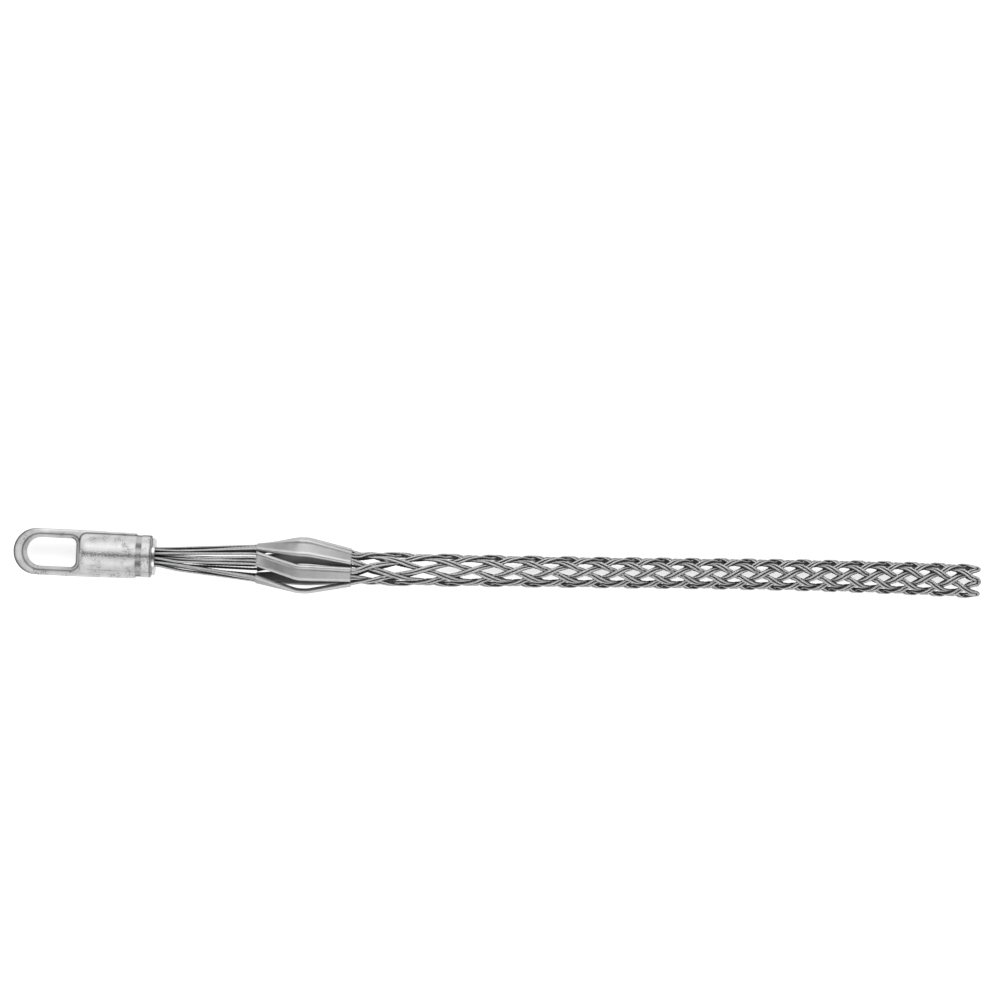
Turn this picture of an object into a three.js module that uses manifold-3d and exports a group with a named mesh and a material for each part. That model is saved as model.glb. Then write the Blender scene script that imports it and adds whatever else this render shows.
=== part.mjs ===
// Cable pulling grip with a turning eye: a woven basket of steel strand that tightens on the end of a
// cable, six flattened steel guards that shoulder the strands out around the cable's nose, a ferrule
// that gathers the strand ends, and a cast eye that turns freely on the ferrule.
// Millimetres, +Z up. The grip lies on a flat surface with the eye's face up. +X runs from the eye to the
// tail. Angles around the grip are measured from straight up, and grow towards -Y.
import * as THREE from "three";
import { mergeVertices } from "three/addons/utils/BufferGeometryUtils.js";
import Module from "manifold-3d";

const wasm = await Module();
wasm.setup();

const gripLength = 580; // from the eye's crown to the tail

// Strand
const strandDiameter = 1.6;
const strandSides = 5;
const strandGap = 0.1; // between neighbours in the ferrule
const boreFit = 0.25; // between the strands and the ferrule's bore
const strandsPerBand = 2;

// Eye casting
const eyeHalfWidth = 14;
const eyeThickness = 11;
const eyeEdgeRound = 1.2;
const crownBar = 7.8; // metal beyond the hole, at the crown
const sideBar = 5.5; // metal beside the hole
const holeLength = 29.5;
const holeCornerRadius = 3.2;
const holeFlare = 2.4; // how far the hole's edge is eased back on each face
const holeFlareDepth = 3.6;

// Socket of the eye casting
const socketRadius = 12.8;
const socketLength = 43.2;
const socketShoulderRound = 3.2;
const ribHalfWidth = 13.5; // the eye's plate runs on along both sides of the socket as two ribs
const grooveFromMouth = 9.7; // from the mouth to the rolled groove's far side
const grooveWidth = 4.2;
const grooveDepth = 0.4;
const rolledStep = 0.1; // how much smaller the rolled mouth is than the socket
const mouthChamfer = 0.7;
const socketSides = 40;

// Ferrule and its thrust washer, inside the socket
const neckRadius = 9.9;
const headRise = 1; // the ferrule's head beyond its neck
const headLength = 20;
const neckProud = 2.2; // how far the neck stands out of the mouth
const boreDepth = 22;
const runningGap = 0.3;
const washerThickness = 1.4;
const endPlay = 0.8;

// Guards
const guardCount = 6;
const guardWall = 0.45;
const guardFit = 0.25; // between a round strand and the guard's wall
const slotSpacing = 2.12; // between the strands side by side in a guard
const guardFront = 28.2; // from a guard's first end to its bend
const guardRear = 28.8; // from the bend to its other end
const bendHalfLength = 3;
const frontRadius = 10; // from the grip's axis to the middle of a guard's thickness
const guardEndGap = 1.2; // between neighbouring guards at their rear ends
// Where the guards sit around the grip: their angles at their front ends, at their bends and at their
// rear ends, how far out each is bent, how much wider it was pressed there, and how far it has turned.
const guardPlaces = [
  { front: -16.6, bend: 15.5, rear: 24, bentOut: 15.2, spread: 1.06, turned: 0 },
  { front: 65.5, bend: 88, rear: 84, bentOut: 15.2, spread: 1.06, turned: 0 },
  { front: 121, bend: 149, rear: 144, bentOut: 14.65, spread: 1.06, turned: 0 },
  { front: 177, bend: 203, rear: 204, bentOut: 14.1, spread: 1.06, turned: 0 },
  { front: 232.5, bend: 257, rear: 264, bentOut: 15.2, spread: 1.06, turned: 0 },
  { front: 288, bend: 315, rear: 324, bentOut: 15.2, spread: 1.25, turned: 20 },
];
const lowestGuard = 3; // the grip lies on this guard and on the one before it
const guardEdgeSteps = 5;
const guardSteps = [9, 1, 3]; // along its front, its bend and its rear

// Lead between the ferrule and the guards
const leadLength = 60.7;
const innerGather = 31; // over which the inner ring of strands opens into the single ring
const outerGather = 14; // the same, for the outer ring
const gatherTurn = -39; // from a strand's even place around the basket to its place in the ferrule
const gatheredGap = 0.14; // between neighbours in the single ring

// Woven basket
const crossingRows = 38;
const openStep = 9.5; // how much longer the first row's step is than the tail's
const openRows = 6; // rows over which that dies away
const firstRowFromGuard = 10;
const firstLoopAngle = 30; // of the strands' evenly spaced places around the basket
const evenRows = 4; // rows over which the basket becomes evenly spaced
const waistRadius = 9.6; // outside, where the basket is narrowest
const mouthFlare = 0.9; // added at both ends of the basket
const waistFromGuard = 187;
const waveHeight = 1.26; // how far a strand rises and dips at a crossing
const bandGap = 0.22; // between the strands side by side in a band
// The two strands of a loop at the tail. Each stop is how far past the last row, how far to each side of
// the loop's middle, and what share is left of the wave.
const outerLoop = [
  [6.4, 2.6, 0.3],
  [8.5, 1, 0],
];
const innerLoop = [
  [4, 1, 0.4],
  [5.9, 0.4, 0],
];

// How the grip lies
const sideBend = 8.8; // the basket's tail lies this far to the side of the eye's axis
const sideBendLength = 357;
const sagLength = 105; // over which the basket comes down to the surface behind the guards
const leadBow = 1; // the lead and the guards hang this far to the other side
const leadBowLength = 20; // over which they come to it behind the neck

const strandRadius = strandDiameter / 2;
const halfStep = Math.PI / guardCount; // from one row's crossing to the next, around the grip
const guardThickness = strandDiameter + 2 * (guardFit + guardWall);
const slotsWidth = (2 * strandsPerBand - 1) * slotSpacing;
const guardWidth = slotsWidth + guardThickness;
const guardEdge = (guardWidth - guardThickness) / 2;
const rearRadius =
  ((guardThickness + guardEndGap) / 2 + guardEdge * Math.cos(halfStep)) / Math.sin(halfStep);

const innerRing = (strandDiameter + strandGap) / (2 * Math.sin(halfStep / 2));
const outerRing = innerRing + strandDiameter + strandGap;
const boreRadius = outerRing + strandRadius + boreFit;
const gatheredRing =
  (strandDiameter + gatheredGap) / (2 * Math.sin(halfStep / (2 * strandsPerBand)));

const holeEnd = crownBar + holeLength;
const socketStart = holeEnd + holeFlare;
const mouthEnd = socketStart + socketLength;
const neckEnd = mouthEnd + neckProud;
const guardsStart = neckEnd + leadLength;
const bendAt = guardsStart + guardFront;
const guardsEnd = bendAt + guardRear;
const firstRow = guardsEnd + firstRowFromGuard;

const degrees = THREE.MathUtils.degToRad;
const smooth = (x, from, to) => THREE.MathUtils.smoothstep(x, from, to);

// The rows' places along X: the weave is open behind the guards and closes towards the tail.
const lastRow = gripLength - strandRadius - outerLoop.at(-1)[0];
const addedSteps = [];
for (let row = 0; row < crossingRows - 1; row += 1) {
  addedSteps.push(openStep * Math.exp(-row / openRows));
}
const allAdded = addedSteps.reduce((sum, added) => sum + added);
const closeStep = (lastRow - firstRow - allAdded) / addedSteps.length;
const rows = [firstRow];
for (const added of addedSteps) rows.push(rows.at(-1) + closeStep + added);

function basketRadius(x) {
  const away = (x - guardsEnd - waistFromGuard) / waistFromGuard;
  return waistRadius + mouthFlare * away * away;
}

// The grip's centreline: level through the eye, over the guards, then down onto the surface.
const lowest = guardPlaces[lowestGuard];
const lowestAngle = Math.PI - degrees(lowest.bend);
const guardHeight =
  lowest.bentOut * Math.cos(lowestAngle) +
  guardEdge * lowest.spread * Math.abs(Math.sin(lowestAngle)) +
  guardThickness / 2;

function centre(x) {
  const rise = smooth(x, neckEnd, bendAt);
  const fall = smooth(x, bendAt, guardsEnd + sagLength);
  const raised = THREE.MathUtils.lerp(socketRadius, guardHeight, rise);
  const z = THREE.MathUtils.lerp(raised, basketRadius(Math.max(x, guardsEnd)), fall);
  const bend = sideBend * smooth(x, guardsEnd, guardsEnd + sideBendLength);
  const bow = smooth(x, neckEnd, neckEnd + leadBowLength) * (1 - fall);
  return new THREE.Vector3(x, bend - leadBow * bow, z);
}

const outward = (angle) => new THREE.Vector3(0, -Math.sin(angle), Math.cos(angle));
const around = (angle) => new THREE.Vector3(0, -Math.cos(angle), -Math.sin(angle));
const placeAt = (x, radius, angle) => centre(x).addScaledVector(outward(angle), radius);

// A guard's four stations: the middle of its section, and the ways across it and out of its face.
function guardFrames(guard) {
  const { front, bend, rear, bentOut, spread, turned } = guardPlaces[guard % guardCount];
  const stations = [
    { x: guardsStart, radius: frontRadius, angle: front, wider: 1, turn: 0 },
    { x: bendAt - bendHalfLength, radius: bentOut, angle: bend, wider: spread, turn: turned },
    { x: bendAt + bendHalfLength, radius: bentOut, angle: bend, wider: spread, turn: turned },
    { x: guardsEnd, radius: rearRadius, angle: rear, wider: 1, turn: 0 },
  ];
  return stations.map(({ x, radius, angle, wider, turn }) => ({
    middle: placeAt(x, radius, degrees(angle)),
    across: around(degrees(angle + turn)).multiplyScalar(wider),
    out: outward(degrees(angle + turn)),
  }));
}

// The same stations with evenly spaced ones between them, for the twist.
function closeFrames(frames) {
  const close = [frames[0]];
  guardSteps.forEach((steps, part) => {
    const [from, to] = [frames[part], frames[part + 1]];
    for (let step = 1; step <= steps; step += 1) {
      const share = step / steps;
      close.push({
        middle: from.middle.clone().lerp(to.middle, share),
        across: from.across.clone().lerp(to.across, share),
        out: from.out.clone().lerp(to.out, share),
      });
    }
  });
  return close;
}

// A flat oval: two straight sides joined by round edges.
function flatOval(width, thickness, Kind) {
  const edge = (width - thickness) / 2;
  const oval = new Kind();
  oval.absarc(edge, 0, thickness / 2, -Math.PI / 2, Math.PI / 2, false);
  oval.absarc(-edge, 0, thickness / 2, Math.PI / 2, (3 * Math.PI) / 2, false);
  oval.closePath();
  return oval;
}

// A guard is a flattened steel tube, bent once: an extruded oval tube laid onto its stations.
function guardGeometry(frames) {
  const section = flatOval(guardWidth, guardThickness, THREE.Shape);
  section.holes.push(
    flatOval(guardWidth - 2 * guardWall, guardThickness - 2 * guardWall, THREE.Path),
  );
  const last = frames.length - 1;
  const geometry = new THREE.ExtrudeGeometry(section, {
    depth: last,
    steps: last,
    bevelEnabled: false,
    curveSegments: guardEdgeSteps,
  });
  const place = geometry.attributes.position;
  const spot = new THREE.Vector3();
  for (let i = 0; i < place.count; i += 1) {
    const { middle, across, out } = frames[Math.round(place.getZ(i))];
    spot.copy(middle);
    spot.addScaledVector(across, -place.getX(i));
    spot.addScaledVector(out, place.getY(i));
    place.setXYZ(i, spot.x, spot.y, spot.z);
  }
  return geometry;
}

// How far a guard's strands still are from their even places around the basket
const evenAngle = (guard) => degrees(firstLoopAngle) + 2 * halfStep * guard;

function unevenness(guard, x) {
  const number = guard % guardCount;
  const rear = degrees(guardPlaces[number].rear) - evenAngle(number);
  return rear * (1 - smooth(x, guardsEnd, rows[evenRows]));
}

const stop = (x, radius, angle) => ({ at: placeAt(x, radius, angle), out: outward(angle) });

// A strand's place at a row: it is shifted along the band that it crosses, over or under it.
function crossing(row, angle, side, outer) {
  const x = rows[row];
  const step = (rows[row + 1] ?? x + closeStep) - x;
  const middleRadius = basketRadius(x) - waveHeight - strandRadius;
  const lean = Math.atan2(middleRadius * halfStep, step);
  const spacing = (strandDiameter + bandGap) / 2;
  const shift = ((outer ? 1 : -1) * spacing) / Math.sin(2 * lean);
  const over = row % 2 === (side > 0 ? 1 : 0);
  const radius = middleRadius + (over ? waveHeight : -waveHeight);
  const turn = (-side * shift * Math.sin(lean)) / middleRadius;
  return stop(x + shift * Math.cos(lean), radius, angle + turn);
}

// One leg of a strand, from its end in the ferrule to the last row. side is +1 for the legs whose angle
// grows towards the tail and -1 for the others. outer is true for the outer strand of a loop at the tail.
function leg(guard, side, outer) {
  const frontAngle = evenAngle(guard) + degrees(gatherTurn);
  const ring = outer ? innerRing : outerRing;
  const ringAngle = frontAngle + (side * halfStep) / 2;
  const place = (side * (outer ? 1 : 3)) / 2; // in steps from the guard's middle
  const gather = neckEnd + (outer ? innerGather : outerGather);
  const gatheredAngle = frontAngle + (place * halfStep) / strandsPerBand;
  const inGuard = guardFrames(guard).map(({ middle, across, out }) => ({
    at: middle.addScaledVector(across, place * slotSpacing),
    out,
  }));
  const inBasket = rows.map((x, row) => {
    const angle = evenAngle(guard) + side * halfStep * (row + 1) + unevenness(guard, x);
    return crossing(row, angle, side, outer);
  });
  return [
    stop(neckEnd - boreDepth, ring, ringAngle),
    stop(neckEnd, ring, ringAngle),
    stop(gather, gatheredRing, gatheredAngle),
    ...inGuard,
    ...inBasket,
  ];
}

// A whole strand: out along one leg, round a loop at the tail, and back along the other leg.
function strandRoute(guard, outer) {
  const out = leg(guard, 1, outer);
  const back = leg(guard + crossingRows + 1, -1, outer);
  const top = evenAngle(guard) + halfStep * (crossingRows + 1);
  const radius = basketRadius(lastRow) - waveHeight - strandRadius;
  const loop = outer ? outerLoop : innerLoop;
  const [going, coming] = [-1, 1].map((way) =>
    loop.map(([reach, aside, share]) => {
      const height = radius - way * share * waveHeight;
      return stop(lastRow + reach, height, top + (way * aside) / radius);
    }),
  );
  return [...out, ...going, ...coming.reverse(), ...back.reverse()];
}

// A strand's route for extruding: its steps fall on its stops, and it is turned to face outwards there.
class StrandPath extends THREE.Curve {
  constructor(stops) {
    super();
    this.stops = stops;
  }

  getPoint(t, target = new THREE.Vector3()) {
    return target.copy(this.stops[Math.round(t * (this.stops.length - 1))].at);
  }

  getPointAt(t, target) {
    return this.getPoint(t, target);
  }

  computeFrenetFrames() {
    const last = this.stops.length - 1;
    const frames = { tangents: [], normals: [], binormals: [] };
    this.stops.forEach(({ at, out }, i) => {
      const tangent = new THREE.Vector3();
      if (i > 0) tangent.add(at.clone().sub(this.stops[i - 1].at).normalize());
      if (i < last) tangent.add(this.stops[i + 1].at.clone().sub(at).normalize());
      tangent.normalize();
      const binormal = tangent.clone().cross(out).normalize();
      frames.tangents.push(tangent);
      frames.normals.push(binormal.clone().cross(tangent));
      frames.binormals.push(binormal);
    });
    return frames;
  }
}

// A strand's section has a corner facing out of the grip.
function strandGeometry(stops) {
  const corners = [];
  for (let i = 0; i < strandSides; i += 1) {
    const turn = (2 * Math.PI * i) / strandSides;
    corners.push(
      new THREE.Vector2(strandRadius * Math.cos(turn), strandRadius * Math.sin(turn)),
    );
  }
  return new THREE.ExtrudeGeometry(new THREE.Shape(corners), {
    steps: stops.length - 1,
    bevelEnabled: false,
    extrudePath: new StrandPath(stops),
  });
}

// Turned shapes: a profile of [x, radius] points, turned about the eye's axis.
function turned(profile, sides = socketSides) {
  const points = profile.map(([x, radius]) => new THREE.Vector2(radius, x));
  const geometry = new THREE.LatheGeometry(points, sides);
  geometry.rotateZ(-Math.PI / 2);
  geometry.translate(0, 0, socketRadius);
  return geometry;
}

function toSolid(geometry) {
  const bare = geometry.clone();
  bare.deleteAttribute("normal");
  bare.deleteAttribute("uv");
  const merged = mergeVertices(bare, 1e-4);
  const faces = [];
  const index = merged.index.array;
  for (let i = 0; i < index.length; i += 3) {
    const [a, b, c] = [index[i], index[i + 1], index[i + 2]];
    if (a !== b && b !== c && a !== c) faces.push(a, b, c);
  }
  return new wasm.Manifold(
    new wasm.Mesh({
      numProp: 3,
      vertProperties: merged.attributes.position.array,
      triVerts: new Uint32Array(faces),
    }),
  );
}

function toGeometry(solid) {
  const { vertProperties, triVerts } = solid.getMesh();
  const geometry = new THREE.BufferGeometry();
  geometry.setAttribute("position", new THREE.BufferAttribute(vertProperties, 3));
  geometry.setIndex(new THREE.BufferAttribute(triVerts, 1));
  const flat = geometry.toNonIndexed();
  flat.computeVertexNormals();
  return flat;
}

// The eye's flat outline: round crown, straight sides, and ribs that run out along the socket.
function eyeOutline() {
  const ribEnd = mouthEnd - grooveFromMouth;
  const outline = new THREE.Shape();
  outline.moveTo(ribEnd, -ribHalfWidth);
  outline.lineTo(ribEnd, ribHalfWidth);
  outline.lineTo(socketStart, eyeHalfWidth);
  outline.absarc(eyeHalfWidth, 0, eyeHalfWidth, Math.PI / 2, (3 * Math.PI) / 2, false);
  outline.lineTo(socketStart, -eyeHalfWidth);
  outline.closePath();
  return outline;
}

// The hole's outline at the middle of the eye's thickness.
function holeOutline() {
  const halfHeight = eyeHalfWidth - sideBar;
  const corner = holeCornerRadius;
  const outline = new THREE.Shape();
  outline.absarc(crownBar + halfHeight, 0, halfHeight, Math.PI / 2, (3 * Math.PI) / 2, false);
  outline.absarc(holeEnd - corner, corner - halfHeight, corner, -Math.PI / 2, 0, false);
  outline.absarc(holeEnd - corner, halfHeight - corner, corner, 0, Math.PI / 2, false);
  outline.closePath();
  return outline;
}

function eyeSolid() {
  const slab = new THREE.ExtrudeGeometry(eyeOutline(), {
    depth: eyeThickness - 2 * eyeEdgeRound,
    bevelSize: eyeEdgeRound,
    bevelThickness: eyeEdgeRound,
    bevelOffset: -eyeEdgeRound,
    bevelSegments: 2,
    curveSegments: 16,
  });
  slab.translate(0, 0, socketRadius - eyeThickness / 2 + eyeEdgeRound);

  // The hole is a straight cut through, and a wider cut from each face that narrows inwards.
  const through = new THREE.ExtrudeGeometry(holeOutline(), {
    depth: 2 * eyeThickness,
    bevelEnabled: false,
    curveSegments: 10,
  });
  through.translate(0, 0, socketRadius - eyeThickness);
  const flares = [-1, 1].map((face) => {
    const flare = new THREE.ExtrudeGeometry(holeOutline(), {
      depth: eyeThickness,
      bevelSize: holeFlare,
      bevelThickness: holeFlareDepth,
      bevelSegments: 1,
      curveSegments: 10,
    });
    const faceHeight = face * (eyeThickness / 2) + (face < 0 ? -eyeThickness : 0);
    return flare.translate(0, 0, socketRadius + faceHeight);
  });
  return [through, ...flares].reduce(
    (solid, cut) => solid.subtract(toSolid(cut)),
    toSolid(slab).add(toSolid(turned(socketProfile()))),
  );
}

// Outside of the socket, from its shoulder over the rolled groove to the mouth.
function socketProfile() {
  const round = socketShoulderRound;
  const grooveStart = mouthEnd - grooveFromMouth;
  const grooveEnd = grooveStart + grooveWidth;
  const rolledRadius = socketRadius - rolledStep;
  const grooveEase = grooveWidth / 4;
  return [
    [socketStart, 0],
    [socketStart, socketRadius - round],
    [socketStart + round / 4, socketRadius - round / 4],
    [socketStart + round, socketRadius],
    [grooveStart, socketRadius],
    [grooveStart + grooveEase, socketRadius - grooveDepth],
    [grooveEnd - grooveEase, socketRadius - grooveDepth],
    [grooveEnd, rolledRadius],
    [mouthEnd - mouthChamfer, rolledRadius],
    [mouthEnd, rolledRadius - mouthChamfer],
    [mouthEnd, 0],
  ];
}

const headRadius = neckRadius + headRise;
const mouthRadius = neckRadius + runningGap;
const chamberRadius = headRadius + runningGap;
const lipStart = mouthEnd - grooveFromMouth;
const washerEnd = lipStart - runningGap;
const headEnd = washerEnd - washerThickness - runningGap;
const headStart = headEnd - headLength;

// The space inside the socket: a chamber for the ferrule's head, and a narrower mouth for its neck.
function socketCavity() {
  return turned([
    [headStart - endPlay, 0],
    [headStart - endPlay, chamberRadius],
    [lipStart, chamberRadius],
    [lipStart, mouthRadius],
    [mouthEnd + 1, mouthRadius],
    [mouthEnd + 1, 0],
  ]);
}

function ferruleGeometry() {
  const ease = mouthChamfer;
  return turned([
    [headStart, 0],
    [headStart, headRadius - ease],
    [headStart + ease, headRadius],
    [headEnd, headRadius],
    [headEnd, neckRadius],
    [neckEnd - ease, neckRadius],
    [neckEnd, neckRadius - ease],
    [neckEnd, boreRadius],
    [neckEnd - boreDepth - 1, boreRadius],
    [neckEnd - boreDepth - 1, 0],
  ]);
}

function washerGeometry() {
  const inner = neckRadius + runningGap;
  const outer = headRadius;
  const start = washerEnd - washerThickness;
  return turned([
    [start, inner],
    [start, outer],
    [washerEnd, outer],
    [washerEnd, inner],
    [start, inner],
  ]);
}

const castSteel = new THREE.MeshStandardMaterial({
  color: 0xb9b9b7,
  roughness: 0.42,
  metalness: 0.9,
});
const guardSteel = new THREE.MeshStandardMaterial({
  color: 0xadaeae,
  roughness: 0.34,
  metalness: 0.95,
});
const strandSteel = new THREE.MeshStandardMaterial({
  color: 0x9a9b9c,
  roughness: 0.36,
  metalness: 0.95,
});
const washerSteel = new THREE.MeshStandardMaterial({
  color: 0x8d8e90,
  roughness: 0.3,
  metalness: 0.95,
});

function piece(name, geometry, material) {
  const mesh = new THREE.Mesh(geometry, material);
  mesh.name = name;
  return mesh;
}

const grip = new THREE.Group();

const casting = toGeometry(eyeSolid().subtract(toSolid(socketCavity())));
grip.add(piece("eye_casting", casting, castSteel));
grip.add(piece("ferrule", ferruleGeometry(), castSteel));
grip.add(piece("thrust_washer", washerGeometry(), washerSteel));

for (let guard = 0; guard < guardCount; guard += 1) {
  const number = guard + 1;
  const guardTube = guardGeometry(closeFrames(guardFrames(guard)));
  grip.add(piece(`guard_${number}`, guardTube, guardSteel));
  for (const outer of [true, false]) {
    const name = `strand_${number}_${outer ? "outer" : "inner"}`;
    grip.add(piece(name, strandGeometry(strandRoute(guard, outer)), strandSteel));
  }
}

// The origin is on the surface that the grip lies on, under the middle of its length and width.
const bounds = new THREE.Box3().setFromObject(grip, true);
const middle = bounds.getCenter(new THREE.Vector3());
grip.position.set(-middle.x, -middle.y, -bounds.min.z);

export default grip;
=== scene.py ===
import math

import bpy
import numpy as np
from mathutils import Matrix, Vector


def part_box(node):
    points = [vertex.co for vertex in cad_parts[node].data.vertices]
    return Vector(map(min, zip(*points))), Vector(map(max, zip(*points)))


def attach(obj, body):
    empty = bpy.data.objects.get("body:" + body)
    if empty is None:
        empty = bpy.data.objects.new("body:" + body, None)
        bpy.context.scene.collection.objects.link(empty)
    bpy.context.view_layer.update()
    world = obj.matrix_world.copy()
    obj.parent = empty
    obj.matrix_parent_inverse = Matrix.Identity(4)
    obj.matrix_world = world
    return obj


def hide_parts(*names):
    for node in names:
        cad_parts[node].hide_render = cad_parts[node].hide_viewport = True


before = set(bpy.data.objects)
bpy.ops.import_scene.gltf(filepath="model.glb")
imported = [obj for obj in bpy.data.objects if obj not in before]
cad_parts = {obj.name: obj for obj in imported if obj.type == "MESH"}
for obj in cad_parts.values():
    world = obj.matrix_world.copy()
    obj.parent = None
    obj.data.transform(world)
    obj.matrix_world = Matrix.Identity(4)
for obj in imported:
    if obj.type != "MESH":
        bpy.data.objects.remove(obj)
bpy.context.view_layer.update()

MM = 0.001

# The model's own measures, as in the part: the eye and its socket
EYE_AXIS = 12.8
EYE_HALF = 14.0
HOLE_START = 7.8
HOLE_END = 37.3
HOLE_HALF = 8.5
HOLE_CORNER = 3.2
HOLE_FLARE = 2.4
SOCKET_START = 41.0
SOCKET_END = 83.0
NECK_END = 85.1

# The weave: rows of crossings lie close at the tail and open toward the guards
STRAND = 0.8
GUARDS = 6
ROWS = 38
HALF = math.pi / GUARDS
FIRST_ROW = 212.8
LAST_ROW = 570.7
OPEN_STEP = 9.5
OPEN_ROWS = 6
EVEN_ROWS = 4
FIRST_LOOP = math.radians(30)
WAIST_RADIUS = 9.6
MOUTH_FLARE = 0.9
WAIST_FROM_GUARDS = 187.0

# The guards, and the strands' places in them
GUARDS_START = 145.8
BEND_AT = 174.0
BEND_HALF_LENGTH = 3.0
GUARDS_END = 202.8
SLOT = 2.12
GUARD_WIDTH = 9.36
GUARD_THICK = 3.0
GUARD_WALL = 0.45
FRONT_RADIUS = 10.0
REAR_RADIUS = 9.71
# Each guard's angle at its front end, its bend and its rear end, how far out it is bent, how much
# wider it was pressed there, and how far it has turned on itself
GUARD_PLACES = (
    (-16.6, 15.5, 24, 15.2, 1.06, 0),
    (65.5, 88, 84, 15.2, 1.06, 0),
    (121, 149, 144, 14.65, 1.06, 0),
    (177, 203, 204, 14.1, 1.06, 0),
    (232.5, 257, 264, 15.2, 1.06, 0),
    (288, 315, 324, 15.2, 1.25, 20),
)
LOWEST_GUARD = 3

# The lead, from the ferrule's bore to the guards
BORE_START = 21.5
INNER_RING_PITCH = 1.7
SINGLE_RING_PITCH = 1.74
OUTER_GATHER = 31.0
INNER_GATHER = 14.0
GATHER_TURN = math.radians(-39)

# How the grip lies
LEAD_BOW = 1.0
LEAD_BOW_LENGTH = 20.0
SIDE_BEND = 8.8
SIDE_LENGTH = 357.0
SAG_LENGTH = 105.0

# The strand's wires and the weave, closer than the part draws them
WAVE = 0.86
PAIR = 0.85
WEAVE_CLEARANCE = 0.05
FLAT_REACH = 0.45
FLAT_MOST = 0.4
LAY = 13.0
WIRE_VALLEY = 0.84
STRAND_SIDES = 12

# How finely lines and meshes are drawn
ROW_STEP = 0.03
LINE_STEP = 0.4
RING = 1.1
CAST_VOXEL = 0.4
TURNED_SIDES = 128

# Seams, lines, and where shade and highlights are painted
GUARD_SEAM = -2.2
SEAM_DEPTH = 0.3
GUARD_EDGE_TUCK = 0.14
# Painted shade on the guards' flat faces, which leaves their rounded edges as painted highlights.
FLAT_PAINTED_SHADE = 0.48
GROOVE_START = 73.0
GROOVE_END = 77.4
MOUTH_LINE = 82.2

# The light of the floor itself, where it is seen or mirrored
FLOOR_GLOW = 0.72

eye_low, eye_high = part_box("eye_casting")
OFFSET = np.array([eye_low.x, (eye_low.y + eye_high.y) / 2, eye_low.z]) / MM


def smooth(x, low, high):
    t = np.clip((np.asarray(x, float) - low) / (high - low), 0, 1)
    return t * t * (3 - 2 * t)


def lerp(a, b, t):
    return a + (b - a) * t


def row_places():
    """Where the guards end and where each row of crossings is, along the grip."""
    added = [OPEN_STEP * math.exp(-row / OPEN_ROWS) for row in range(ROWS)]
    close = (LAST_ROW - FIRST_ROW - sum(added[:-1])) / (ROWS - 1)
    places = [GUARDS_END, FIRST_ROW]
    for more in added:
        places.append(places[-1] + close + more)
    return np.array(places)


PLACES = row_places()
ROW_SLOPE = np.gradient(PLACES)


def row_x(k):
    """Where the weave's row k is along the grip, for any k from -1 on."""
    at = np.clip(np.asarray(k, float) + 1, 0, len(PLACES) - 1.001)
    i = np.floor(at).astype(int)
    t = at - i
    a, b = PLACES[i], PLACES[i + 1]
    p, q = ROW_SLOPE[i], ROW_SLOPE[i + 1]
    return (
        a * (2 * t**3 - 3 * t**2 + 1)
        + p * (t**3 - 2 * t**2 + t)
        + b * (3 * t**2 - 2 * t**3)
        + q * (t**3 - t**2)
    )


def outside(x):
    """The basket's outer radius, least at its waist."""
    away = (np.asarray(x, float) - GUARDS_END - WAIST_FROM_GUARDS) / WAIST_FROM_GUARDS
    return WAIST_RADIUS + MOUTH_FLARE * away * away


LOW_PLACE = GUARD_PLACES[LOWEST_GUARD]
LOW_ANGLE = math.pi - math.radians(LOW_PLACE[1])
GUARD_EDGE = (GUARD_WIDTH - GUARD_THICK) / 2
LIFTED = (
    LOW_PLACE[3] * math.cos(LOW_ANGLE)
    + GUARD_EDGE * LOW_PLACE[4] * abs(math.sin(LOW_ANGLE))
    + GUARD_THICK / 2
)


def centre(x):
    """The line that the grip lies along."""
    x = np.asarray(x, float)
    raised = lerp(EYE_AXIS, LIFTED, smooth(x, NECK_END, BEND_AT))
    fall = smooth(x, BEND_AT, GUARDS_END + SAG_LENGTH)
    z = lerp(raised, outside(np.maximum(x, GUARDS_END)), fall)
    bend = SIDE_BEND * smooth(x, GUARDS_END, GUARDS_END + SIDE_LENGTH)
    bow = smooth(x, NECK_END, NECK_END + LEAD_BOW_LENGTH) * (1 - fall)
    return np.stack([x, bend - LEAD_BOW * bow, z], -1)


def outward(angle):
    angle = np.asarray(angle, float)
    return np.stack([0 * angle, -np.sin(angle), np.cos(angle)], -1)


def around(angle):
    angle = np.asarray(angle, float)
    return np.stack([0 * angle, -np.cos(angle), -np.sin(angle)], -1)


def place_at(x, radius, angle):
    return centre(x) + np.asarray(radius, float)[..., None] * outward(angle)


def stations(guard):
    """A guard's middle, the way across it and the way out of its face, at its ends and its bend."""
    front, bend, rear, bent_out, spread, turned = GUARD_PLACES[guard % GUARDS]
    rows = (
        (GUARDS_START, FRONT_RADIUS, front, 1, 0),
        (BEND_AT - BEND_HALF_LENGTH, bent_out, bend, spread, turned),
        (BEND_AT + BEND_HALF_LENGTH, bent_out, bend, spread, turned),
        (GUARDS_END, REAR_RADIUS, rear, 1, 0),
    )
    found = []
    for x, radius, angle, wider, turn in rows:
        at, faces = math.radians(angle), math.radians(angle + turn)
        found.append((place_at(x, radius, at), around(faces) * wider, outward(faces)))
    return found


def even_angle(guard):
    return FIRST_LOOP + 2 * HALF * guard


def unevenness(guard, x):
    """How far a strand is turned from its even place, as its guard is, over the first rows."""
    number = guard % GUARDS
    rear = math.radians(GUARD_PLACES[number][2]) - even_angle(number)
    return rear * (1 - smooth(x, GUARDS_END, PLACES[1 + EVEN_ROWS]))


def resample(points, step):
    """The same line with its points evenly spaced, about a step apart."""
    points = np.asarray(points, float)
    along = np.concatenate([[0], np.cumsum(np.linalg.norm(np.diff(points, axis=0), axis=1))])
    count = max(2, int(round(along[-1] / step)) + 1)
    want = np.linspace(0, along[-1], count)
    return np.stack([np.interp(want, along, points[:, i]) for i in range(points.shape[1])], -1)


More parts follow.
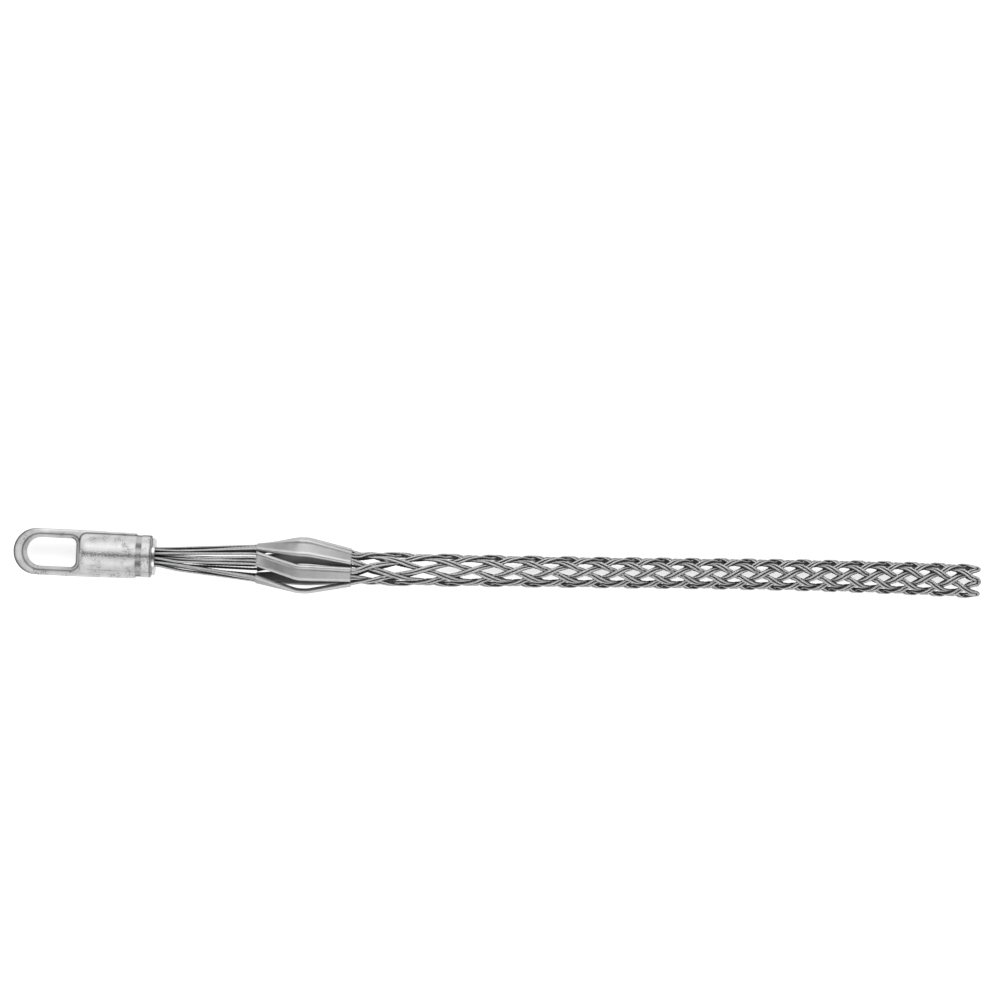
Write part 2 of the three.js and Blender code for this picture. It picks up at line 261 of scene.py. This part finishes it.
def soften(points, window):
    """A moving average over an odd number of points, with the ends kept."""
    half = window // 2
    first = 2 * points[0] - points[half:0:-1]
    last = 2 * points[-1] - points[-2 : -half - 2 : -1]
    padded = np.concatenate([first, points, last])
    total = np.cumsum(np.concatenate([np.zeros((1, points.shape[1])), padded]), axis=0)
    return (total[window:] - total[:-window]) / window


def spline(points, each=12):
    """A smooth line through the points."""
    p = np.asarray(points, float)
    p = np.concatenate([[2 * p[0] - p[1]], p, [2 * p[-1] - p[-2]]])
    made = []
    for i in range(1, len(p) - 2):
        t = np.linspace(0, 1, each, endpoint=False)[:, None]
        a, b, c, d = p[i - 1], p[i], p[i + 1], p[i + 2]
        square = 2 * a - 5 * b + 4 * c - d
        cube = 3 * b - a - 3 * c + d
        made.append(0.5 * (2 * b + (c - a) * t + square * t**2 + cube * t**3))
    return np.concatenate(made + [p[-2:-1]])


def basket(guard, side, outer):
    """A strand's way from its guard to the tail, over and under the bands it crosses."""
    k = np.arange(-0.5, ROWS - 0.9, ROW_STEP)
    x = row_x(k)
    step = np.gradient(x, k)
    middle = outside(x) - STRAND - WAVE - WEAVE_CLEARANCE
    lean = np.arctan2(middle * HALF, step)
    length = step / np.cos(lean)
    way = 1 if outer else -1
    shifted = k - way * PAIR / np.tan(2 * lean) / length
    row = np.floor(shifted + 0.5)
    off = np.abs(shifted - row)
    flat = np.minimum(FLAT_MOST, (PAIR / np.sin(2 * lean) + FLAT_REACH) / length)
    shape = np.where(off < flat, 1, np.cos(math.pi / 2 * (off - flat) / (0.5 - flat)))
    over = np.where(np.mod(row, 2) == (1 if side > 0 else 0), 1, -1)
    angle = even_angle(guard) + side * HALF * (k + 1) + unevenness(guard, x)
    angle = angle - side * way * PAIR * np.cos(lean) / middle
    return place_at(x + way * PAIR * np.sin(lean), middle + WAVE * over * shape, angle)


# The tail's loops: how far past the last row, how far aside and how high in the weave, for each point
LOOPS = {
    True: ((4.6, 2.75, 0.45), (6.4, 2.5, 0.1), (8.0, 1.55, 0), (8.6, 0, 0)),
    False: ((3.6, 1.2, 0.5), (5.0, 1.02, 0.15), (6.2, 0.7, 0), (6.75, 0, 0)),
}


def loop(guard, outer):
    """The round end of a strand at the tail."""
    middle = outside(LAST_ROW) - STRAND - WAVE - WEAVE_CLEARANCE
    top = even_angle(guard) + HALF * (ROWS + 1)
    half = LOOPS[outer]
    stops = [(u, -v, lift) for u, v, lift in half]
    stops += [(u, v, -lift) for u, v, lift in reversed(half[:-1])]
    points = [place_at(LAST_ROW + u, middle + lift * WAVE, top + v / middle) for u, v, lift in stops]
    return np.array(points)


def lead(guard, side, outer):
    """A strand's way from the ferrule's two rings of strands to one ring, and through its guard."""
    front = even_angle(guard) + GATHER_TURN
    inner_ring = INNER_RING_PITCH / (2 * math.sin(HALF / 2))
    ring = inner_ring if outer else inner_ring + INNER_RING_PITCH
    single = SINGLE_RING_PITCH / (2 * math.sin(HALF / 4))
    gather = OUTER_GATHER if outer else INNER_GATHER
    place = side * (0.5 if outer else 1.5)
    points = [
        place_at(NECK_END - BORE_START, ring, front + side * HALF / 2),
        place_at(NECK_END, ring, front + side * HALF / 2),
        place_at(NECK_END + gather, single, front + place * HALF / 2),
    ]
    points += [middle + across * place * SLOT for middle, across, out in stations(guard)]
    return np.array(points)


def leg(guard, side, outer):
    return np.concatenate([resample(lead(guard, side, outer), LINE_STEP), basket(guard, side, outer)])


def strand_route(guard, outer):
    """A whole strand, from the ferrule to the tail and back."""
    go = leg(guard, 1, outer)
    back = leg(guard + ROWS + 1, -1, outer)[::-1]
    bend = spline(np.concatenate([go[-1:], loop(guard, outer), back[:1]]))[1:-1]
    whole = resample(np.concatenate([go, bend, back]), LINE_STEP)
    close = soften(whole, 5)
    wide = soften(whole, 21)
    share = smooth(whole[:, 0], GUARDS_END + 2, FIRST_ROW + 2)[:, None]
    return resample(lerp(wide, close, share), RING)


def carried_frames(points):
    """Two directions across the line at each point, turned as little as can be from one to the next."""
    tangents = np.gradient(points, axis=0)
    tangents /= np.linalg.norm(tangents, axis=1)[:, None]
    side = np.cross(tangents[0], [0, 0, 1.0])
    side /= np.linalg.norm(side)
    sides = [side]
    for tangent in tangents[1:]:
        side = side - tangent * side.dot(tangent)
        side = side / np.linalg.norm(side)
        sides.append(side)
    sides = np.array(sides)
    return sides, np.cross(tangents, sides)


def mesh_object(name, verts, faces, material):
    mesh = bpy.data.meshes.new(name)
    mesh.from_pydata((np.asarray(verts) + OFFSET) * MM, [], faces)
    mesh.update()
    mesh.polygons.foreach_set("use_smooth", [True] * len(mesh.polygons))
    mesh.materials.append(material)
    obj = bpy.data.objects.new(name, mesh)
    bpy.context.scene.collection.objects.link(obj)
    return obj


# Painted shade kept per vertex: 0 where a surface is left as lit, 1 where it is painted darkest.
def set_painted_shade(obj, values):
    stored = obj.data.attributes.new("painted_shade", "FLOAT", "POINT")
    stored.data.foreach_set("value", values)


def ring_faces(rings, around_count, first=0, flip=False):
    """Faces between closed sections of equal count that follow one another."""
    i = np.arange(rings - 1)[:, None] * around_count + first
    j = np.arange(around_count)[None, :]
    k = (j + 1) % around_count
    a, b = i + j, i + k
    c, d = b + around_count, a + around_count
    quads = np.stack([a, d, c, b] if flip else [a, b, c, d], -1)
    return quads.reshape(-1, 4).tolist()


def strand_mesh(name, guard, outer, material):
    """A strand whose outer wires twist round it."""
    points = strand_route(guard, outer)
    sides, ups = carried_frames(points)
    count = STRAND_SIDES
    radius = np.where(np.arange(count) % 2 == 0, STRAND, STRAND * WIRE_VALLEY)
    turn = 2 * math.pi * np.arange(count) / count
    spin = 2 * math.pi * np.arange(len(points)) * RING / LAY + guard
    angle = turn[None, :] + spin[:, None]
    ways = sides[:, None, :] * np.cos(angle)[..., None] + ups[:, None, :] * np.sin(angle)[..., None]
    verts = (points[:, None, :] + ways * radius[None, :, None]).reshape(-1, 3)
    faces = ring_faces(len(points), count)
    faces.append(list(range(count))[::-1])
    faces.append([(len(points) - 1) * count + i for i in range(count)])
    obj = mesh_object(name, verts, faces, material)
    # Painted shade on the strand's sides that face into the bundle and on strands deep inside it.
    set_painted_shade(obj, strand_painted_shade(points, ways).ravel())
    return obj


def strand_painted_shade(points, ways):
    """Painted shade on each point of a strand: 0 on sides facing out, 1 on sides facing into the bundle
    and deep inside it, where shade falls.
    """
    from_axis = points - centre(points[:, 0])
    depth = np.linalg.norm(from_axis, axis=1)
    out = from_axis / depth[:, None]
    facing = (ways * out[:, None, :]).sum(-1)
    inward = 1 - smooth(facing, -0.1, 0.75)
    buried = 1 - smooth(depth, 3.4, 5.6)
    return np.clip(np.maximum(inward, buried[:, None]), 0, 1)


def oval_ring(width, thick, steps, seam=None):
    """A flat oval as points across and out, from its lower face round, with or without a seam."""
    edge = (width - thick) / 2
    half = thick / 2
    points = []
    for t in np.linspace(-math.pi / 2, math.pi / 2, steps):
        points.append((edge + half * math.cos(t), half * math.sin(t)))
    across = list(np.linspace(edge, -edge, 9)[1:-1])
    if seam is not None:
        across = [u for u in across if abs(u - seam) > 0.45]
        across += [seam + 0.36, seam + 0.12, seam - 0.12, seam - 0.36]
    for u in sorted(across, reverse=True):
        deep = SEAM_DEPTH if seam is not None and abs(u - seam) < 0.2 else 0
        points.append((u, half - deep))
    for t in np.linspace(math.pi / 2, 1.5 * math.pi, steps):
        points.append((-edge + half * math.cos(t), half * math.sin(t)))
    for u in np.linspace(-edge, edge, 9)[1:-1]:
        points.append((u, -half))
    return np.array(points)


def guard_mesh(name, guard, material):
    """A flattened tube along its guard's stations, rounded at the bend and tucked in at its ends."""
    path = np.array([np.concatenate(station) for station in stations(guard)])
    length = np.concatenate([[0], np.cumsum(np.linalg.norm(np.diff(path[:, :3], axis=0), axis=1))])
    want = np.append(np.arange(0, length[-1], LINE_STEP), length[-1])
    dense = np.stack([np.interp(want, length, path[:, i]) for i in range(9)], -1)
    dense = soften(dense, 11)
    keep = sorted({0, 1, *range(3, len(dense) - 2, 3), len(dense) - 2, len(dense) - 1})
    dense = dense[keep]
    outer = oval_ring(GUARD_WIDTH, GUARD_THICK, 13, seam=GUARD_SEAM)
    inner = oval_ring(GUARD_WIDTH - 2 * GUARD_WALL, GUARD_THICK - 2 * GUARD_WALL, 9)
    last = len(dense) - 1

    def lay(section, shrink):
        rings = []
        for i, station in enumerate(dense):
            middle, across, out = station[:3], station[3:6], station[6:]
            pull = shrink if i in (0, last) else 0
            rings.append(
                middle
                + across * (section[:, :1] * (1 - 2 * pull / GUARD_WIDTH))
                + out * (section[:, 1:] * (1 - 2 * pull / GUARD_THICK))
            )
        return np.concatenate(rings)

    verts = np.concatenate([lay(outer, GUARD_EDGE_TUCK), lay(inner, 0)])
    start = len(dense) * len(outer)
    faces = ring_faces(len(dense), len(outer), flip=True)
    faces += ring_faces(len(dense), len(inner), first=start)
    for at, turned in ((0, False), (last, True)):
        faces += rim(outer, inner, at * len(outer), start + at * len(inner), turned)
    obj = mesh_object(name, verts, faces, material)
    # Painted shade on each guard's inward-facing half and inside wall, with lighter painted shade on its
    # flat faces so its edges show as painted highlights.
    flat_painted_shade = FLAT_PAINTED_SHADE * (1 - smooth(np.abs(outer[:, 0]), GUARD_EDGE - 0.9, GUARD_EDGE))
    around_section = np.maximum(smooth(-outer[:, 1], -1.1, 0.9), flat_painted_shade)
    set_painted_shade(obj, np.append(np.tile(around_section, len(dense)), np.ones(len(verts) - start)))
    return obj


def rim(outer, inner, first_outer, first_inner, turned):
    """Faces between two closed sections, walked round together by angle."""

    def bearing(section):
        found = np.unwrap(np.arctan2(section[:, 1] * 3, section[:, 0]))
        return found - found[0]

    closing = [2 * math.pi, math.inf]
    a = [*bearing(outer), *closing]
    b = [*bearing(inner), *closing]
    i = j = 0
    faces = []
    while i < len(outer) or j < len(inner):
        here_a, here_b = first_outer + i % len(outer), first_inner + j % len(inner)
        if a[i + 1] <= b[j + 1]:
            face = [here_a, first_outer + (i + 1) % len(outer), here_b]
            i += 1
        else:
            face = [here_a, first_inner + (j + 1) % len(inner), here_b]
            j += 1
        faces.append(face[::-1] if turned else face)
    return faces


def turned_mesh(name, profile, material):
    """A closed profile of (x, radius) points turned about the eye's axis."""
    sides = TURNED_SIDES
    profile = np.array(profile, float)
    angle = 2 * math.pi * np.arange(sides) / sides
    rings = [
        np.stack([0 * angle + x, radius * np.cos(angle), EYE_AXIS + radius * np.sin(angle)], -1)
        for x, radius in profile
    ]
    verts = np.concatenate(rings)
    faces = ring_faces(len(profile), sides)
    first = (len(profile) - 1) * sides
    for i in range(sides):
        j = (i + 1) % sides
        faces.append([first + i, first + j, j, i])
    obj = mesh_object(name, verts, faces, material)
    obj.data.set_sharp_from_angle(angle=math.radians(28))
    return obj


def node_tree(name):
    material = bpy.data.materials.new(name)
    material.use_nodes = True
    nodes = material.node_tree.nodes
    return material, nodes, material.node_tree.links, nodes["Principled BSDF"]


def noise(nodes, links, scale, detail, source, rough=0.55):
    made = nodes.new("ShaderNodeTexNoise")
    made.inputs["Scale"].default_value = scale
    made.inputs["Detail"].default_value = detail
    made.inputs["Roughness"].default_value = rough
    links.new(source, made.inputs["Vector"])
    return made.outputs["Fac"]


def ramp(nodes, links, source, stops):
    """Shades of grey, as (place, shade) pairs."""
    made = nodes.new("ShaderNodeValToRGB")
    while len(made.color_ramp.elements) < len(stops):
        made.color_ramp.elements.new(0.5)
    for element, (at, value) in zip(made.color_ramp.elements, stops):
        element.position = at
        element.color = (value, value, value, 1)
    links.new(source, made.inputs["Fac"])
    return made.outputs["Color"]


def multiply(nodes, links, a, b):
    made = nodes.new("ShaderNodeMix")
    made.data_type = "RGBA"
    made.blend_type = "MULTIPLY"
    made.inputs["Factor"].default_value = 1.0
    links.new(a, made.inputs["A"])
    links.new(b, made.inputs["B"])
    return made.outputs["Result"]


def bump(nodes, links, source, strength, distance, before=None):
    made = nodes.new("ShaderNodeBump")
    made.inputs["Strength"].default_value = strength
    made.inputs["Distance"].default_value = distance
    links.new(source, made.inputs["Height"])
    if before is not None:
        links.new(before, made.inputs["Normal"])
    return made.outputs["Normal"]


def beyond_round_box(x, y, start, end, half, near_corner, far_corner):
    """How far points lie outside a box along x with rounded corners; the first ones may differ."""
    middle = (start + end) / 2
    corner = np.where(x < middle, near_corner, far_corner)
    along = np.abs(x - middle) - (end - start) / 2 + corner
    across = np.abs(y) - half + corner
    outside = np.hypot(np.maximum(along, 0), np.maximum(across, 0))
    return outside + np.minimum(np.maximum(along, across), 0) - corner


def stroke(distance, width):
    """A line of soft edges: 1 at no distance."""
    return np.exp(-((distance / width) ** 2))


def cast_painted_shade(points):
    """Painted shade: dark lines where the casting's faces meet or turn from the light, at the hole's
    flare and far corners, round the crown and below the socket's shoulders; also a dark line round the
    mouth and darker patches in the rolled groove.
    """
    x, y, z = points.T
    around = np.arctan2(z - EYE_AXIS, y)
    past_hole = beyond_round_box(x, y, HOLE_START, HOLE_END, HOLE_HALF, HOLE_HALF, HOLE_CORNER)
    past_outline = beyond_round_box(x, y, 0.0, SOCKET_END, EYE_HALF, EYE_HALF, 1.0)
    # Painted shade at the edge of the hole's flare and round the crown, and a painted shadow in the
    # hole's far corners.
    flare_edge = stroke(past_hole - HOLE_FLARE, 0.5) * 0.9
    hole_end = stroke(past_hole - 0.6, 0.6) * smooth(x, 33.5, 37.0) * 0.9
    crown_edge = stroke(past_outline + 0.3, 0.95) * (1 - smooth(x, 4.0, 19.0)) * 1.1
    # Painted shade along the socket's top, below its shoulders.
    upper = stroke(beyond_round_box(x, y, 39.6, 90.0, 12.3, 4.2, 1.0), 0.55) * (y > 0)
    lower = stroke(beyond_round_box(x, y, 43.0, 90.0, 9.4, 2.0, 1.0), 0.4) * (y < 0) * (x > 45) * 0.28
    socket_lines = (upper + lower) * (z > EYE_AXIS)
    # Darker patches in the rolled groove and a dark line round the mouth.
    patches = 0.34 + 0.6 * np.clip(np.sin(7 * around + 0.4), 0, 1)
    past_start = smooth(x, GROOVE_START, GROOVE_START + 0.8)
    in_groove = past_start * (1 - smooth(x, GROOVE_END - 0.8, GROOVE_END))
    mouth = stroke(x - MOUTH_LINE, 0.5) * 0.9
    eye_lines = flare_edge + hole_end + crown_edge
    return np.clip(eye_lines + socket_lines + in_groove * patches + mouth, 0, 1)


def math_node(nodes, links, operation, *values):
    """A node that works on sockets and numbers."""
    made = nodes.new("ShaderNodeMath")
    made.operation = operation
    for place, value in zip(made.inputs, values):
        if isinstance(value, bpy.types.NodeSocket):
            links.new(value, place)
        else:
            place.default_value = value
    return made.outputs[0]


def painted_reflection_stripe(nodes, links, where):
    """A painted reflection: a dark stripe with rough edges along the top and the underside of the
    socket, where the dark room above is mirrored.
    """
    split = nodes.new("ShaderNodeSeparateXYZ")
    links.new(where, split.inputs[0])
    across = math_node(nodes, links, "SUBTRACT", split.outputs["Y"], OFFSET[1] * MM)
    across = math_node(nodes, links, "ABSOLUTE", across)
    across = math_node(nodes, links, "MULTIPLY_ADD", across, 90.0, 0.42)
    grain = noise(nodes, links, 1300, 3, where, 0.7)
    rough_edge = math_node(nodes, links, "MULTIPLY_ADD", grain, -0.8, across)
    socket_start = (SOCKET_START + OFFSET[0]) * MM
    on_eye = math_node(nodes, links, "LESS_THAN", split.outputs["X"], socket_start)
    beyond = math_node(nodes, links, "ADD", rough_edge, on_eye)
    return ramp(nodes, links, beyond, [(0.02, 0.28), (0.12, 0.75), (0.22, 1.0)])


def metal(name, dark, light, rough, grain, metallic, blotch=90.0, painted_shade_tone=None, pits=None):
    """Patchy bare metal, darkened to a given tone where its painted shade is full; pits come with a
    painted reflection, a dark stripe along the socket.
    """
    material, nodes, links, shader = node_tree(name)
    where = nodes.new("ShaderNodeTexCoord").outputs["Object"]
    patches = noise(nodes, links, blotch, 4, where)
    colour = ramp(nodes, links, patches, [(0.3, dark), (0.7, light)])
    fine = noise(nodes, links, grain, 3, where)
    colour = multiply(nodes, links, colour, ramp(nodes, links, fine, [(0.25, 0.82), (0.7, 1.0)]))
    normal = bump(nodes, links, fine, 0.25, 0.00012)
    if pits is not None:
        spots = noise(nodes, links, 1500, 2, where, 0.4)
        sparse = noise(nodes, links, 110, 2, where)
        spots = ramp(nodes, links, spots, [(0.5, 0.0), (0.64, 1.0)])
        sparse = ramp(nodes, links, sparse, [(0.48, 0.0), (0.62, 1.0)])
        pitted = math_node(nodes, links, "MULTIPLY", spots, sparse)
        pit_shade = ramp(nodes, links, pitted, [(0.0, 1.0), (1.0, 1.0 - pits)])
        colour = multiply(nodes, links, colour, pit_shade)
        height = math_node(nodes, links, "SUBTRACT", 1.0, pitted)
        normal = bump(nodes, links, height, 0.6, 0.0003, normal)
        # Pitted castings also get the painted reflection: a dark stripe along the socket's top and
        # underside.
        colour = multiply(nodes, links, colour, painted_reflection_stripe(nodes, links, where))
    # Painted shade, read from the value stored on each vertex.
    if painted_shade_tone is not None:
        stored = nodes.new("ShaderNodeAttribute")
        stored.attribute_name = "painted_shade"
        shade = ramp(nodes, links, stored.outputs["Fac"], [(0.0, 1.0), (1.0, painted_shade_tone)])
        colour = multiply(nodes, links, colour, shade)
    links.new(colour, shader.inputs["Base Color"])
    links.new(normal, shader.inputs["Normal"])
    roughness = ramp(nodes, links, patches, [(0.3, rough), (0.75, rough + 0.12)])
    links.new(roughness, shader.inputs["Roughness"])
    shader.inputs["Metallic"].default_value = metallic
    return material


# Where a tone for full shade is given, it is the colour under painted shade at its fullest.
cast_steel = metal("cast_steel", 0.6, 0.78, 0.4, 1500, metallic=0.25, painted_shade_tone=0.12, pits=0.7)
bright_steel = metal("bright_steel", 0.5, 0.62, 0.2, 2600, metallic=1.0)
guard_steel = metal("guard_steel", 0.47, 0.6, 0.42, 2200, metallic=0.85, blotch=140.0, painted_shade_tone=0.3)
strand_steel = metal("strand_steel", 0.4, 0.56, 0.36, 2600, metallic=0.9, blotch=260.0, painted_shade_tone=0.13)

for number in range(GUARDS):
    guard = guard_mesh(f"guard_{number + 1}_tube", number, guard_steel)
    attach(guard, "grip")
    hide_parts(f"guard_{number + 1}")
    for kind in ("outer", "inner"):
        node = f"strand_{number + 1}_{kind}"
        strand = strand_mesh(f"{node}_wires", number, kind == "outer", strand_steel)
        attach(strand, "grip")
        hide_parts(node)

# The casting is the part's own shape, drawn with the soft edges of a casting.
rough_cast = bpy.data.objects.new("rough_cast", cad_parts["eye_casting"].data.copy())
bpy.context.scene.collection.objects.link(rough_cast)
remesh = rough_cast.modifiers.new("soft", "REMESH")
remesh.mode = "VOXEL"
remesh.voxel_size = CAST_VOXEL * MM
remesh.use_smooth_shade = True
rounding = rough_cast.modifiers.new("rounding", "SMOOTH")
rounding.factor = 0.5
rounding.iterations = 8
evaluated = rough_cast.evaluated_get(bpy.context.evaluated_depsgraph_get())
casting = bpy.data.objects.new("eye_cast", bpy.data.meshes.new_from_object(evaluated))
bpy.context.scene.collection.objects.link(casting)
bpy.data.objects.remove(rough_cast)
casting.data.materials.clear()
casting.data.materials.append(cast_steel)
cast_points = np.empty(len(casting.data.vertices) * 3)
casting.data.vertices.foreach_get("co", cast_points)
# Painted shade along the casting's creases and edges.
set_painted_shade(casting, cast_painted_shade(cast_points.reshape(-1, 3) / MM - OFFSET))
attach(casting, "eye")
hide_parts("eye_casting")

# Along the axis and out from it: the head in the socket, the neck, the collar at the mouth, the bore
FERRULE_PROFILE = (
    (51.0, 0.01),
    (51.0, 10.4),
    (51.5, 10.9),
    (71.1, 10.9),
    (71.2, 10.8),
    (71.2, 9.9),
    (83.2, 9.9),
    (83.25, 10.9),
    (83.5, 11.15),
    (84.4, 11.1),
    (84.9, 10.8),
    (85.1, 10.3),
    (85.1, 6.9),
    (84.7, 6.3),
    (62.2, 6.3),
    (62.2, 0.01),
)
ferrule = turned_mesh("ferrule_turned", FERRULE_PROFILE, bright_steel)
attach(ferrule, "grip")
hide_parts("ferrule")

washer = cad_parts["thrust_washer"]
washer.data.materials.clear()
washer.data.materials.append(bright_steel)

# A plain pale floor with the grip's shadow, white where it is seen or mirrored, softer to what it lights
REACH = 6.0
floor_corners = [(-REACH, -REACH, 0), (REACH, -REACH, 0), (REACH, REACH, 0), (-REACH, REACH, 0)]
floor_mesh = bpy.data.meshes.new("floor")
floor_mesh.from_pydata(floor_corners, [], [(0, 1, 2, 3)])
floor = bpy.data.objects.new("floor", floor_mesh)
floor.location.z = -0.0003
bpy.context.scene.collection.objects.link(floor)
paper = bpy.data.materials.new("paper")
paper.use_nodes = True
paper_nodes, paper_links = paper.node_tree.nodes, paper.node_tree.links
paper_nodes.clear()
seen = paper_nodes.new("ShaderNodeEmission")
seen.inputs["Color"].default_value = (1, 1, 1, 1)
seen.inputs["Strength"].default_value = FLOOR_GLOW
lit = paper_nodes.new("ShaderNodeBsdfDiffuse")
lit.inputs["Color"].default_value = (0.55, 0.55, 0.55, 1)
choose = paper_nodes.new("ShaderNodeMixShader")
rays = paper_nodes.new("ShaderNodeLightPath")
paper_out = paper_nodes.new("ShaderNodeOutputMaterial")
glowing = paper_nodes.new("ShaderNodeAddShader")
paper_links.new(seen.outputs[0], glowing.inputs[0])
paper_links.new(lit.outputs[0], glowing.inputs[1])
shown_to = rays.outputs["Is Camera Ray"]
for kind in ("Is Glossy Ray", "Is Transmission Ray"):
    shown_to = math_node(paper_nodes, paper_links, "MAXIMUM", shown_to, rays.outputs[kind])
paper_links.new(shown_to, choose.inputs[0])
paper_links.new(lit.outputs[0], choose.inputs[1])
paper_links.new(glowing.outputs[0], choose.inputs[2])
paper_links.new(choose.outputs[0], paper_out.inputs["Surface"])
floor_mesh.materials.append(paper)

# Room light: bright to both sides, darker straight above
world = bpy.data.worlds.new("room")
bpy.context.scene.world = world
world.use_nodes = True
room_nodes, room_links = world.node_tree.nodes, world.node_tree.links
room_nodes.clear()
facing = room_nodes.new("ShaderNodeTexCoord").outputs["Generated"]
split = room_nodes.new("ShaderNodeSeparateXYZ")
room_links.new(facing, split.inputs[0])
aside = math_node(room_nodes, room_links, "ABSOLUTE", split.outputs["Y"])
ROOM_SHADES = [(0.0, 0.1), (0.2, 0.16), (0.42, 0.75), (0.62, 1.0), (0.86, 0.9), (1.0, 0.4)]
shade = ramp(room_nodes, room_links, aside, ROOM_SHADES)
sky = room_nodes.new("ShaderNodeBackground")
sky.inputs["Strength"].default_value = 1.0
room_links.new(shade, sky.inputs["Color"])
room_out = room_nodes.new("ShaderNodeOutputWorld")
room_links.new(sky.outputs[0], room_out.inputs["Surface"])


def area_light(name, place, aim, width, depth, power):
    light = bpy.data.lights.new(name, "AREA")
    light.shape = "RECTANGLE"
    light.size = width
    light.size_y = depth
    light.energy = power
    obj = bpy.data.objects.new(name, light)
    obj.location = place
    obj.rotation_euler = (Vector(aim) - Vector(place)).to_track_quat("-Z", "Y").to_euler()
    bpy.context.scene.collection.objects.link(obj)


area_light("key", place=(0.0, 1.2, 1.3), aim=(0, 0, 0), width=2.2, depth=0.7, power=16)
area_light("fill", place=(0.0, -1.3, 1.1), aim=(0, 0, 0), width=2.2, depth=0.6, power=10)

# The camera looks straight down; the photo's middle is beside the grip.
ROLL = math.radians(2.75)
PHOTO_MIDDLE = np.array([289.83, 43.92, 0])
PHOTO_WIDTH = 0.6
CAMERA_DISTANCE = 3.16
GRIP_HEIGHT = 0.013
SENSOR_WIDTH = 36
look = (PHOTO_MIDDLE + OFFSET) * MM
camera_data = bpy.data.cameras.new("camera")
camera_data.sensor_width = SENSOR_WIDTH
camera_data.lens = SENSOR_WIDTH / (PHOTO_WIDTH / CAMERA_DISTANCE)
camera_data.clip_end = 20
camera = bpy.data.objects.new("camera", camera_data)
camera.location = (look[0], look[1], GRIP_HEIGHT + CAMERA_DISTANCE)
camera.rotation_euler = (0, 0, ROLL)
bpy.context.scene.collection.objects.link(camera)
bpy.context.scene.camera = camera
bpy.context.scene.view_settings.view_transform = "Standard"
